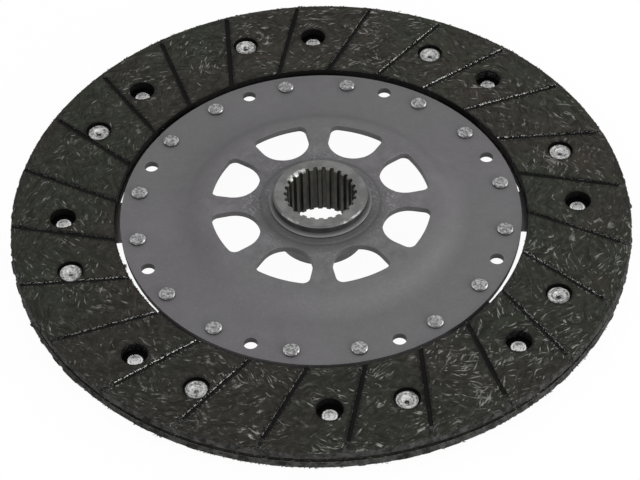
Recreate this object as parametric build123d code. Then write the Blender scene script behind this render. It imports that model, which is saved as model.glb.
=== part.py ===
from build123d import *
from math import asin, atan2, cos, degrees, radians, sin, sqrt, tan
import os

# Rigid clutch disc, millimetres. The axis is Z, the origin is at the middle of the hub's rear end face,
# and the side that the photograph shows looks along +Z. Spokes of the carrier plate lie on X and Y.

# Friction facings: two rings with straight slanted grooves
disc_diameter = 240.0
facing_thickness = 3.5
facing_edge_chamfer = 0.4
groove_count = 24
groove_width = 1.8
groove_depth = 0.8
groove_offset = 31.0
groove_heading = 3.0
groove_overrun = 4.0
groove_pattern_shift = 1.7

# Cushion segments: spring steel, each one foot, neck and wavy paddle
segment_count = 8
segment_thickness = 0.8
segment_wave = 1.0
segment_margin = 2.6
segment_spacing = 4.0
segment_corner = 2.0
neck_width = 21.0
foot_width = 35.5
foot_inner_margin = 6.0
foot_outer_margin = 1.2
crest_half_width = 8.5
joggle_land = 0.8
bend_radius = 6.0

# Carrier plate: one dished pressing, clear of the facings' bore
plate_diameter = 156.0
plate_edge_gap = 2.25
plate_thickness = 2.6
dish_height = 5.6
dish_top_diameter = 93.6
dish_step_width = 8.4
plate_bend_radius = 10.0
seat_boss_diameter = 45.6
seat_boss_height = 0.3
seat_boss_slope = 0.6
balance_hole_diameter = 5.5
balance_hole_inset = 6.0

# Windows in the dished middle, one between each pair of spokes
window_count = 8
window_outer_diameter = 85.8
window_inner_diameter = 52.4
window_inner_radius = 10.1
window_corner_radius = 2.8
window_corner_spacing = 16.0
window_edge_round = 0.35

# Hub
hub_length = 22.9
hub_rear_reach = 9.3
hub_front_diameter = 37.0
hub_rear_diameter = 34.6
hub_flange_diameter = 46.0
hub_flange_thickness = 3.0
hub_seat_diameter = 38.6
hub_edge_chamfer = 0.6
hub_root_radius = 1.5
lip_diameter = 39.9
lip_height = 0.8
lip_rise = 0.7
lip_edge = 0.25

# Hub spline
tooth_count = 26
spline_major_diameter = 28.4
spline_minor_diameter = 26.0
tooth_space_mouth = 1.9
tooth_space_root = 1.35
spline_lead_diameter = 27.2
spline_lead_depth = 0.6

# Rivets that join plate and segments, set in from the plate's edge
plate_rivet_inset = 6.05
plate_rivet_spacing = 25.1
plate_rivet_shank = 4.5
plate_rivet_head = 6.2
plate_rivet_head_height = 1.2
plate_rivet_edge = 0.45
plate_rivet_dimple = 1.2
plate_rivet_dimple_depth = 0.3

# Half-hollow rivets that join facings and segments, half way across the facings
facing_rivet_step = 16.75
rear_rivet_turn = 0.45
facing_rivet_shank = 4.8
facing_rivet_bore = 1.8
facing_rivet_bore_depth = 2.2
facing_rivet_head = 8.3
facing_rivet_head_height = 0.9
facing_rivet_edge = 0.2
facing_rivet_funnel = 4.2
facing_rivet_funnel_depth = 1.5
facing_rivet_sink = 1.0
rolled_end_diameter = 6.2
rolled_end_height = 0.9
rolled_end_edge = 0.3
rolled_cup_diameter = 4.4
rolled_cup_floor = 3.4
rolled_cup_depth = 0.8
clearance_hole_diameter = 10.2

# Clearances
rivet_hole_clearance = 0.1
head_clearance = 0.9
hub_seat_clearance = 0.05

# Heights that follow from the sizes above
pack_middle = hub_rear_reach
wave_half = segment_wave / 2
segment_half = segment_thickness / 2
facing_gap_half = segment_half + wave_half
front_face = pack_middle + facing_gap_half + facing_thickness
rear_face = pack_middle - facing_gap_half - facing_thickness
rim_bottom = pack_middle + segment_half
rim_top = rim_bottom + plate_thickness
dish_top = rim_top + dish_height
dish_bottom = dish_top - plate_thickness
boss_top = dish_top + seat_boss_height
foot_bottom = pack_middle - segment_half

# Plan positions that follow from the sizes above
segment_pitch = 360 / segment_count
window_pitch = 360 / window_count
facing_bore = plate_diameter + 2 * plate_edge_gap
facing_rivet_radius = (disc_diameter + facing_bore) / 4
plate_rivet_radius = plate_diameter / 2 - plate_rivet_inset
plate_rivet_half_angle = degrees(asin(plate_rivet_spacing / 2 / plate_rivet_radius))
balance_hole_radius = plate_diameter / 2 - balance_hole_inset
head_seat_depth = facing_rivet_sink + facing_rivet_head_height

# Working allowances of cutters and of searches for edges
cut_margin = 1.0
level_margin = 0.01


def polar(radius, angle):
    return radius * cos(radians(angle)), radius * sin(radians(angle))


def around(shape, count, start=0.0):
    """Copies of a shape turned about the disc's axis, equally spaced."""
    return [Rot(0, 0, start + index * 360 / count) * shape for index in range(count)]


def disc(diameter, bottom, top):
    """A round bar on the axis between two heights."""
    return Pos(0, 0, bottom) * extrude(Circle(diameter / 2), top - bottom)


def round_hole(diameter, radius, angle, bottom, top):
    """A cutter for one hole parallel to the axis."""
    x, y = polar(radius, angle)
    return Pos(x, y, 0) * disc(diameter, bottom, top)


def turned(points):
    """A solid turned about Z from the straight-sided half section (radius, height)."""
    section = make_face(Plane.XZ * Polyline(*points, close=True))
    return revolve(section, Axis.Z)


def make_grooves(face_height, into):
    """The straight grooves of one friction face, cut a little past both edges of the ring.

    The whole pattern sits a little off the axis, so the grooves leave the edges unevenly."""
    start = sqrt((facing_bore / 2) ** 2 - groove_offset ** 2) - groove_overrun
    stop = sqrt((disc_diameter / 2) ** 2 - groove_offset ** 2) + groove_overrun
    bottom = min(face_height, face_height + into * groove_depth)
    height = groove_depth + cut_margin
    if into > 0:
        bottom -= cut_margin
    bar = Pos((start + stop) / 2, groove_offset, bottom + height / 2)
    bar = bar * Box(stop - start, groove_width, height)
    return [Pos(0, groove_pattern_shift, 0) * copy for copy in around(bar, groove_count, groove_heading)]


def make_facing(face_height, back_height, own_angle, other_angle):
    """A friction ring: its own rivets sit in stepped holes, the other ring's rivets in clear holes."""
    into = 1 if back_height > face_height else -1
    bottom = min(face_height, back_height)
    ring = disc(disc_diameter, bottom, bottom + facing_thickness)
    ring -= disc(facing_bore, bottom - cut_margin, bottom + facing_thickness + cut_margin)
    face_edges = ring.edges().filter_by(GeomType.CIRCLE).filter_by_position(
        Axis.Z, face_height - level_margin, face_height + level_margin)
    ring = chamfer(face_edges, facing_edge_chamfer)
    low = bottom - cut_margin
    high = bottom + facing_thickness + cut_margin
    seat = face_height + into * head_seat_depth
    outside = face_height - into * cut_margin
    shank_hole = round_hole(facing_rivet_shank + 2 * rivet_hole_clearance, facing_rivet_radius,
                            own_angle, low, high)
    head_hole = round_hole(facing_rivet_head + 2 * head_clearance, facing_rivet_radius,
                           own_angle, min(seat, outside), max(seat, outside))
    clear_hole = round_hole(clearance_hole_diameter, facing_rivet_radius, other_angle, low, high)
    cutters = around(shank_hole, segment_count)
    cutters += around(head_hole, segment_count)
    cutters += around(clear_hole, segment_count)
    cutters += make_grooves(face_height, into)
    return ring - cutters


def sector(inner_radius, outer_radius, half_angle):
    """A flat piece of ring about +X."""
    corners = [polar(outer_radius, -half_angle), polar(outer_radius, half_angle),
               polar(inner_radius, half_angle), polar(inner_radius, -half_angle)]
    outline = ThreePointArc(corners[0], (outer_radius, 0), corners[1])
    outline += Line(corners[1], corners[2])
    outline += ThreePointArc(corners[2], (inner_radius, 0), corners[3])
    outline += Line(corners[3], corners[0])
    return make_face(outline)


def segment_outline():
    """The flat blank of one cushion segment: foot, narrow neck and wide paddle."""
    paddle_inner = facing_bore / 2 + segment_margin
    paddle_outer = disc_diameter / 2 - segment_margin
    half_gap = degrees(asin(segment_spacing / 2 / facing_rivet_radius))
    paddle = sector(paddle_inner, paddle_outer, segment_pitch / 2 - half_gap)
    foot_inner = plate_rivet_radius - foot_inner_margin
    foot_outer = plate_diameter / 2 - foot_outer_margin
    foot = sector(foot_inner, foot_outer, degrees(asin(foot_width / 2 / plate_rivet_radius)))
    neck_start = (foot_inner + foot_outer) / 2
    neck_stop = (paddle_inner + facing_rivet_radius) / 2
    neck = Pos((neck_start + neck_stop) / 2, 0) * Rectangle(neck_stop - neck_start, neck_width)
    blank = paddle + neck + foot
    blank = fillet(blank.vertices(), segment_corner)
    for angle in (-facing_rivet_step, rear_rivet_turn, facing_rivet_step):
        blank -= Pos(*polar(facing_rivet_radius, angle)) * Circle(
            facing_rivet_shank / 2 + rivet_hole_clearance)
    for angle in (-plate_rivet_half_angle, plate_rivet_half_angle):
        blank -= Pos(*polar(plate_rivet_radius, angle)) * Circle(
            plate_rivet_shank / 2 + rivet_hole_clearance)
    return blank


def sheet_section(centre_line):
    """A bent strip of segment thickness about a centre line given as (place, height)."""
    upper = [(place, height + segment_half) for place, height in centre_line]
    lower = [(place, height - segment_half) for place, height in centre_line]
    top = FilletPolyline(*upper, radius=bend_radius)
    bottom = FilletPolyline(*lower, radius=bend_radius)
    ends = Line(upper[0], lower[0]) + Line(upper[-1], lower[-1])
    return make_face(top + bottom + ends)


def make_segment():
    """One segment along +X: the paddle's middle bears on the rear facing, its wings on the front one."""
    valley = -wave_half
    crest = wave_half
    valley_half = neck_width / 2 + segment_corner
    crest_place = facing_rivet_radius * sin(radians(facing_rivet_step)) - crest_half_width
    reach = disc_diameter / 2
    neck_end = sqrt((facing_bore / 2 + segment_margin) ** 2 - valley_half ** 2)

    across = [(-reach, crest), (-crest_place, crest), (-valley_half, valley),
              (valley_half, valley), (crest_place, crest), (reach, crest)]
    wave = extrude(Plane.YZ * sheet_section(across), reach)
    along = [(0, 0), (plate_diameter / 2, 0), (neck_end - joggle_land, valley), (neck_end, valley)]
    tongue = extrude(Plane.XZ * sheet_section(along), reach, both=True)

    blank = segment_outline()
    inner_zone = Circle(facing_bore / 2) + Pos(neck_end / 2, 0) * Rectangle(neck_end, 2 * valley_half)
    paddle = wave & extrude(blank - inner_zone, 2 * segment_thickness, both=True)
    foot = tongue & extrude(blank & inner_zone, 2 * segment_thickness, both=True)
    return Pos(0, 0, pack_middle) * (paddle + foot)


def window_cutter():
    """One window about +X: an arc towards the rim, rounded corners and a wide round end to the hub."""
    outer = window_outer_diameter / 2
    hub_centre = window_inner_diameter / 2 + window_inner_radius
    corner_y = window_corner_spacing / 2
    corner_x = sqrt((outer - window_corner_radius) ** 2 - corner_y ** 2)
    gap = sqrt((corner_x - hub_centre) ** 2 + corner_y ** 2)
    line_angle = atan2(corner_y, corner_x - hub_centre)
    normal = line_angle + asin(1.0) - asin((window_inner_radius - window_corner_radius) / gap)
    side_in = (hub_centre + window_inner_radius * cos(normal), window_inner_radius * sin(normal))
    side_out = (corner_x + window_corner_radius * cos(normal),
                corner_y + window_corner_radius * sin(normal))
    rim_angle = atan2(corner_y, corner_x)
    rim_point = (outer * cos(rim_angle), outer * sin(rim_angle))
    turn = (normal + rim_angle) / 2
    corner_middle = (corner_x + window_corner_radius * cos(turn),
                     corner_y + window_corner_radius * sin(turn))

    outline = ThreePointArc(mirrored(side_in), (window_inner_diameter / 2, 0), side_in)
    outline += Line(side_in, side_out)
    outline += ThreePointArc(side_out, corner_middle, rim_point)
    outline += ThreePointArc(rim_point, (outer, 0), mirrored(rim_point))
    outline += ThreePointArc(mirrored(rim_point), mirrored(corner_middle), mirrored(side_out))
    outline += Line(mirrored(side_out), mirrored(side_in))
    return Pos(0, 0, dish_bottom - cut_margin) * extrude(
        make_face(outline), plate_thickness + 2 * cut_margin)


def mirrored(point):
    return point[0], -point[1]


def make_carrier_plate():
    """The pressed plate: flat rim, soft step, raised middle with windows, low boss round the hub."""
    bore = hub_seat_diameter / 2 + hub_seat_clearance
    slope = atan2(dish_height, dish_step_width)
    shift = plate_thickness * tan(slope / 2)
    step_top = dish_top_diameter / 2
    step_foot = step_top + dish_step_width
    edge = plate_diameter / 2
    top_points = [(bore, dish_top), (step_top, dish_top), (step_foot, rim_top), (edge, rim_top)]
    bottom_points = [(bore, dish_bottom), (step_top - shift, dish_bottom),
                     (step_foot - shift, rim_bottom), (edge, rim_bottom)]
    wide_bend = plate_bend_radius + plate_thickness
    top = FilletPolyline(*top_points, radius=[wide_bend, plate_bend_radius])
    bottom = FilletPolyline(*bottom_points, radius=[plate_bend_radius, wide_bend])
    ends = Line(top_points[0], bottom_points[0]) + Line(top_points[-1], bottom_points[-1])
    plate = revolve(Plane.XZ * make_face(top + bottom + ends), Axis.Z)

    plate -= around(window_cutter(), window_count, window_pitch / 2)
    edges = plate.edges().filter_by_position(
        Axis.Z, dish_top - level_margin, dish_top + level_margin)
    rims = [edge for edge in edges if not edge.is_closed]
    plate = fillet(rims, window_edge_round)
    boss = seat_boss_diameter / 2
    plate += turned([(bore, dish_bottom), (boss, dish_bottom), (boss, dish_top),
                     (boss - seat_boss_slope, boss_top), (bore, boss_top)])

    low = rim_bottom - cut_margin
    high = rim_top + cut_margin
    balance_hole = round_hole(balance_hole_diameter, balance_hole_radius, segment_pitch / 2,
                              low, high)
    holes = around(balance_hole, segment_count)
    for angle in (-plate_rivet_half_angle, plate_rivet_half_angle):
        hole = round_hole(plate_rivet_shank + 2 * rivet_hole_clearance, plate_rivet_radius,
                          angle, low, high)
        holes += around(hole, segment_count)
    return plate - holes


def spline_cutter():
    """The toothed bore: a round core with one tapered space for each tooth gap."""
    minor = spline_minor_diameter / 2
    major = spline_major_diameter / 2
    inside = minor - cut_margin
    flare = (tooth_space_mouth - tooth_space_root) / (major - minor)
    mouth = tooth_space_mouth + flare * cut_margin
    space = make_face(Polyline((inside, -mouth / 2), (major, -tooth_space_root / 2),
                               (major, tooth_space_root / 2), (inside, mouth / 2), close=True))
    outline = Circle(minor)
    for copy in around(space, tooth_count):
        outline += copy
    bore = extrude(outline, hub_length)
    lead_inner = minor - cut_margin
    slope = spline_lead_depth / (spline_lead_diameter / 2 - minor)
    reach = (spline_lead_diameter / 2 - lead_inner) * slope
    for end, way in ((hub_length, -1), (0, 1)):
        bore += turned([(0, end), (spline_lead_diameter / 2, end),
                        (lead_inner, end + way * reach), (0, end + way * reach)])
    return bore


def make_hub():
    """The hub: rear barrel, flange under the plate, seat, staked lip over the plate, front barrel."""
    rear = hub_rear_diameter / 2
    front = hub_front_diameter / 2
    flange = hub_flange_diameter / 2
    seat = hub_seat_diameter / 2
    lip = lip_diameter / 2
    flange_bottom = dish_bottom - hub_flange_thickness
    lip_top = boss_top + lip_height
    body = turned([
        (0, 0), (rear - hub_edge_chamfer, 0), (rear, hub_edge_chamfer),
        (rear, flange_bottom - hub_root_radius), (rear + hub_root_radius, flange_bottom),
        (flange, flange_bottom), (flange, dish_bottom), (seat, dish_bottom), (seat, boss_top),
        (lip, boss_top), (lip, lip_top - lip_edge), (lip - lip_edge, lip_top),
        (front, lip_top + lip_rise),
        (front, hub_length - hub_edge_chamfer), (front - hub_edge_chamfer, hub_length),
        (0, hub_length)])
    return body - spline_cutter()


def make_plate_rivet():
    """A solid rivet on +Z at the origin's radius: head on the plate, closed end under the foot."""
    shank = plate_rivet_shank / 2
    head = plate_rivet_head / 2
    edge = plate_rivet_edge
    dimple = plate_rivet_dimple / 2
    top = rim_top + plate_rivet_head_height
    bottom = foot_bottom - plate_rivet_head_height
    return turned([
        (0, top - plate_rivet_dimple_depth), (dimple, top), (head - edge, top), (head, top - edge),
        (head, rim_top), (shank, rim_top), (shank, foot_bottom), (head, foot_bottom),
        (head, bottom + edge), (head - edge, bottom), (0, bottom)])


def make_facing_rivet(way):
    """A half-hollow rivet: wide head with a deep funnel, cupped end rolled over on the segment."""
    shank = facing_rivet_shank / 2
    bore = facing_rivet_bore / 2
    head = facing_rivet_head / 2
    funnel = facing_rivet_funnel / 2
    rolled = rolled_end_diameter / 2
    cup = rolled_cup_diameter / 2
    cup_floor = rolled_cup_floor / 2
    edge = facing_rivet_edge
    seat = front_face - head_seat_depth
    top = seat + facing_rivet_head_height
    under = pack_middle + wave_half - segment_half
    end = under - rolled_end_height
    roll = rolled_end_edge
    rivet = turned([
        (0, top - facing_rivet_bore_depth), (bore, top - facing_rivet_bore_depth),
        (bore, top - facing_rivet_funnel_depth), (funnel, top), (head - edge, top),
        (head, top - edge), (head, seat), (shank, seat), (shank, under),
        (rolled, under), (rolled, end + roll), (rolled - roll, end), (cup, end),
        (cup_floor, end + rolled_cup_depth), (0, end + rolled_cup_depth)])
    if way < 0:
        rivet = Pos(0, 0, 2 * pack_middle) * (Rot(180, 0, 0) * rivet)
    return rivet


def place(shape, radius, angle):
    x, y = polar(radius, angle)
    return Pos(x, y, 0) * shape


def save(node, shape):
    export_step(shape, "parts/" + node + ".step")


def main():
    os.makedirs("parts", exist_ok=True)
    save("hub", make_hub())
    save("carrier_plate", make_carrier_plate())
    front_back = pack_middle + facing_gap_half
    rear_back = pack_middle - facing_gap_half
    save("front_facing", make_facing(front_face, front_back, facing_rivet_step, rear_rivet_turn))
    save("rear_facing", make_facing(rear_face, rear_back, rear_rivet_turn, facing_rivet_step))

    segment = make_segment()
    plate_rivet = make_plate_rivet()
    for index in range(segment_count):
        turn = index * segment_pitch
        number = str(index + 1)
        save("cushion_segment_" + number, Rot(0, 0, turn) * segment)
        pair = [place(plate_rivet, plate_rivet_radius, turn + angle)
                for angle in (-plate_rivet_half_angle, plate_rivet_half_angle)]
        save("plate_rivets_" + number, Compound(children=pair))

    for node, way, angle in (("front_facing_rivets", 1, facing_rivet_step),
                             ("rear_facing_rivets", -1, rear_rivet_turn)):
        rivet = make_facing_rivet(way)
        group = [place(rivet, facing_rivet_radius, angle + index * segment_pitch)
                 for index in range(segment_count)]
        save(node, Compound(children=group))


main()
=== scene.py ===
from math import cos, hypot, pi, radians, sin, sqrt, tan
import random

import bpy
from mathutils import Matrix, Vector


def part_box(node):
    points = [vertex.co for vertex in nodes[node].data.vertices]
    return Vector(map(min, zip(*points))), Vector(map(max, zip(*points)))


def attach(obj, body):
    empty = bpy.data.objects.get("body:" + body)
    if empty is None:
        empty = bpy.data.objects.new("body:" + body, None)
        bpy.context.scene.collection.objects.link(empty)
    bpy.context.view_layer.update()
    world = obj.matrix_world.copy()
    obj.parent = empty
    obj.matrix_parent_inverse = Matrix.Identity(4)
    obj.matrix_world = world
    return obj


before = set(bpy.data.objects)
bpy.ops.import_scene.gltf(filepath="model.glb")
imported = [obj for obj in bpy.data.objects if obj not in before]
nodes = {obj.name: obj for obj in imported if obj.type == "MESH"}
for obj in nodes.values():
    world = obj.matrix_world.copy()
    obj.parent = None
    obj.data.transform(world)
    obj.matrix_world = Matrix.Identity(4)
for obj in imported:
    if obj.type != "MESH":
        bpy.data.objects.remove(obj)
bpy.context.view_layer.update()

MM = 0.001


def extent(name):
    """A node's lowest and highest level and its smallest and largest radius, in millimetres."""
    low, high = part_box(name)
    radii = [hypot(vertex.co.x, vertex.co.y) for vertex in nodes[name].data.vertices]
    return [round(value / MM, 2) for value in (low.z, high.z, min(radii), max(radii))]


# Sizes read from the frame, in millimetres
RING_FOOT, FRONT_FACE, RING_IN, RING_OUT = extent("front_facing")
REAR_FACE = extent("rear_facing")[0]
HUB_TOP = extent("hub")[1]
_, LIP_FOOT, _, PLATE_OUT = extent("carrier_plate")
RING_THICK = round(FRONT_FACE - RING_FOOT, 2)
MIDDLE = (FRONT_FACE + REAR_FACE) / 2
HOLE_CIRCLE = (RING_IN + RING_OUT) / 2
FACES = ((FRONT_FACE, 1), (REAR_FACE, -1))

# Further sizes of the solids in millimetres, and headings in degrees, counted from +X
GROOVES = 24
GROOVE_OFFSET = 31.0
GROOVE_HEADING = 3.0
GROOVE_SHIFT = 1.7
GROOVE_HALF = 0.9
GROOVE_START = sqrt(RING_IN ** 2 - GROOVE_OFFSET ** 2)
GROOVE_STOP = sqrt(RING_OUT ** 2 - GROOVE_OFFSET ** 2)
HOLES = 8
HOLE_RADIUS = 5.1
HOLE_HEADINGS = (0.45, 16.75)
EDGE_CHAMFER = 0.4
DISH_REACH = 47.0
BOSS_FOOT = 23.1
BARREL = 18.5
SPLINE_REACH = 14.2
GLINT_ASIDE = 11.5

# The facing rivets' levels in millimetres, above or below the middle of the disc
ROLLED_HEIGHT = 1.0
BORE_HEIGHT = 1.5
BORE_HALF = 0.42

# The wound yarn's paths, in millimetres: their middle circle, their swing to both sides, and the
# radius of the ring of noise that tells them apart; then their waves in one turn
YARN_MIDDLE = 100.1
YARN_SWING = 22.0
YARN_SPREAD = 18.4
YARN_WAVES = 3

# How much fibre is added: numbers of fields, fibres, tufts, rows and steps
FLECK_FIELDS = 46
FLECK_SINGLES = 150
FRAY_OUTER = 1500
FRAY_INNER = 210
FRAY_TUFTS = 150
FELT_STEPS = 840
FELT_ROWS = 6
FELT_STRIDE = FELT_ROWS + 3
FELT_KNOTS = 60
GROOVE_END_FIBRES = 44
STRAY_FIBRES = 26

# Ways, and headings in degrees from +X, at which the look changes; a crowd has a middle and a spread
BRIGHT_PATCH_WAY = (-0.66, 0.75, 0)
DULL_WAY = (-0.34, -0.94, 0)
BUSY_HEADING = 300
FAR_HEADING = 90
ASIDE_HEADING = 333
FRAYED_HEADING = 204
STRAY_HEADING = 199.5
CLEAN_HEADINGS = (150, 195)
FLECK_CROWDS = ((295, 40), (295, 40), (92, 14))

# Floor size and its drop below the solids, in metres
FLOOR_HALF = 4
FLOOR_DROP = 0.0002


# Camera and lamps

def place_camera():
    """A viewpoint 46 degrees above the disc, with a long lens and a slight roll."""
    height = radians(46.133)
    distance = 0.9186
    focal_pixels = 2355.5
    image_width = 640
    middle = Vector((0, 0, MIDDLE * MM))
    turn = Matrix.Rotation(radians(-0.47), 3, "Z")
    pan = radians(-0.034)
    tilt = radians(-0.558)
    roll = radians(-1.291)
    away = Vector((0, -cos(height), sin(height)))
    forward = -away
    right = Vector((1, 0, 0))
    up = right.cross(forward)
    forward = (forward + right * tan(pan) + up * tan(tilt)).normalized()
    right = forward.cross(up).normalized()
    up = right.cross(forward)
    x_axis = right * cos(roll) + up * sin(roll)
    y_axis = up * cos(roll) - right * sin(roll)
    axes = [turn @ x_axis, turn @ y_axis, turn @ -forward]
    place = turn @ (away * distance) + middle
    data = bpy.data.cameras.new("camera")
    data.sensor_width = 36.0
    data.lens = focal_pixels / image_width * data.sensor_width
    data.clip_start = 0.05
    data.clip_end = 50
    camera = bpy.data.objects.new("camera", data)
    bpy.context.scene.collection.objects.link(camera)
    matrix = Matrix.Identity(4)
    for column, axis in enumerate(axes):
        for row in range(3):
            matrix[row][column] = axis[row]
    for row in range(3):
        matrix[row][3] = place[row]
    camera.matrix_world = matrix
    bpy.context.scene.camera = camera


def place_lamp(name, azimuth, elevation, distance, size, watts):
    """A soft box that looks at the origin, under the hub; azimuth is counted from +X, in degrees."""
    data = bpy.data.lights.new(name, "AREA")
    data.shape = "RECTANGLE"
    data.size = size[0]
    data.size_y = size[1]
    data.energy = watts
    lamp = bpy.data.objects.new(name, data)
    bpy.context.scene.collection.objects.link(lamp)
    a = radians(azimuth)
    e = radians(elevation)
    way = Vector((cos(a) * cos(e), sin(a) * cos(e), sin(e)))
    lamp.location = way * distance
    lamp.rotation_euler = way.to_track_quat("Z", "Y").to_euler()


# Node graphs

class Graph:
    """A material's node tree with short calls for the nodes used here."""

    def __init__(self, name):
        self.material = bpy.data.materials.new(name)
        self.material.use_nodes = True
        self.tree = self.material.node_tree
        self.tree.nodes.clear()

    def add(self, kind, inputs=None, **settings):
        node = self.tree.nodes.new("ShaderNode" + kind)
        for key, value in settings.items():
            setattr(node, key, value)
        for key, value in (inputs or {}).items():
            self.set(node.inputs[key], value)
        return node

    def set(self, socket, value):
        if isinstance(value, bpy.types.NodeSocket):
            self.tree.links.new(value, socket)
        else:
            socket.default_value = value

    def math(self, operation, first, second=0.0, third=0.0, clamp=False):
        node = self.add("Math", {0: first, 1: second, 2: third}, operation=operation, use_clamp=clamp)
        return node.outputs[0]

    def vector(self, operation, first, second=(0, 0, 0), scale=1.0):
        node = self.add("VectorMath", {0: first, 1: second}, operation=operation)
        if operation == "SCALE":
            self.set(node.inputs["Scale"], scale)
        return node.outputs["Value" if operation in ("DOT_PRODUCT", "LENGTH") else "Vector"]

    def mix(self, factor, first, second, blend="MIX"):
        node = self.add("Mix", {0: factor, 6: first, 7: second}, data_type="RGBA", blend_type=blend)
        return node.outputs[2]

    def blend(self, factor, first, second):
        node = self.add("Mix", {0: factor, 2: first, 3: second}, data_type="FLOAT")
        return node.outputs[0]

    def span(self, value, low, high, to_low=0.0, to_high=1.0, smooth=False):
        kind = "SMOOTHSTEP" if smooth else "LINEAR"
        node = self.add("MapRange", {0: value, 1: low, 2: high, 3: to_low, 4: to_high},
                        interpolation_type=kind, clamp=True)
        return node.outputs[0]

    def noise(self, vector, scale, detail=2.0, rough=0.5, w=None):
        inputs = {"Vector": vector, "Scale": scale, "Detail": detail, "Roughness": rough}
        if w is not None:
            inputs["W"] = w
        node = self.add("TexNoise", inputs, noise_dimensions="3D" if w is None else "4D")
        return node.outputs[0]

    def polar(self, point):
        """A point's x, y, z, radius and heading."""
        x, y, z = self.add("SeparateXYZ", {0: point}).outputs
        square = self.math("MULTIPLY_ADD", x, x, self.math("MULTIPLY", y, y))
        return x, y, z, self.math("SQRT", square), self.math("ARCTAN2", y, x)

    def place(self):
        """Position in millimetres, with x, y, z, radius and heading."""
        point = self.add("TexCoord").outputs["Object"]
        point = self.vector("SCALE", point, scale=1 / MM)
        return (point, *self.polar(point))

    def swayed(self, point, scale, amount):
        """The point moved about by a soft noise, so that straight patterns bend."""
        noise = self.add("TexNoise", {"Vector": point, "Scale": scale, "Detail": 2.0})
        shift = self.vector("SUBTRACT", noise.outputs["Color"], (0.5, 0.5, 0.5))
        return self.vector("ADD", point, self.vector("SCALE", shift, scale=amount))

    def steepness(self):
        """0 on faces that lie flat, 1 on upright walls."""
        normal = self.add("NewGeometry").outputs["True Normal"]
        z = self.add("SeparateXYZ", {0: normal}).outputs[2]
        return self.math("SUBTRACT", 1.0, self.math("ABSOLUTE", z), clamp=True)

    def edges(self, radius_mm):
        """1 on rounded edges: where the rounded normal leaves the true one."""
        soft = self.add("Bevel", {"Radius": radius_mm * MM}, samples=6).outputs[0]
        true = self.add("NewGeometry").outputs["Normal"]
        same = self.vector("DOT_PRODUCT", soft, true)
        return self.span(same, 0.98, 0.80)

    def bump(self, height, strength, depth_mm, normal=None):
        inputs = {"Height": height, "Strength": strength, "Distance": depth_mm * MM}
        if normal is not None:
            inputs["Normal"] = normal
        return self.add("Bump", inputs).outputs[0]

    def finish(self, colour, roughness, normal, metallic=0.0, specular=0.5):
        shader = self.add("BsdfPrincipled", {
            "Base Color": colour, "Roughness": roughness, "Normal": normal,
            "Metallic": metallic, "Specular IOR Level": specular})
        self.add("OutputMaterial", {"Surface": shader.outputs[0]})
        return self.material


def grey(level, tint=(1, 1, 1)):
    """Linear colour of a screen level from 0 to 255, with a slight tint."""
    c = level / 255
    c = c / 12.92 if c <= 0.04045 else ((c + 0.055) / 1.055) ** 2.4
    return (c * tint[0], c * tint[1], c * tint[2], 1)


# Materials

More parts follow.
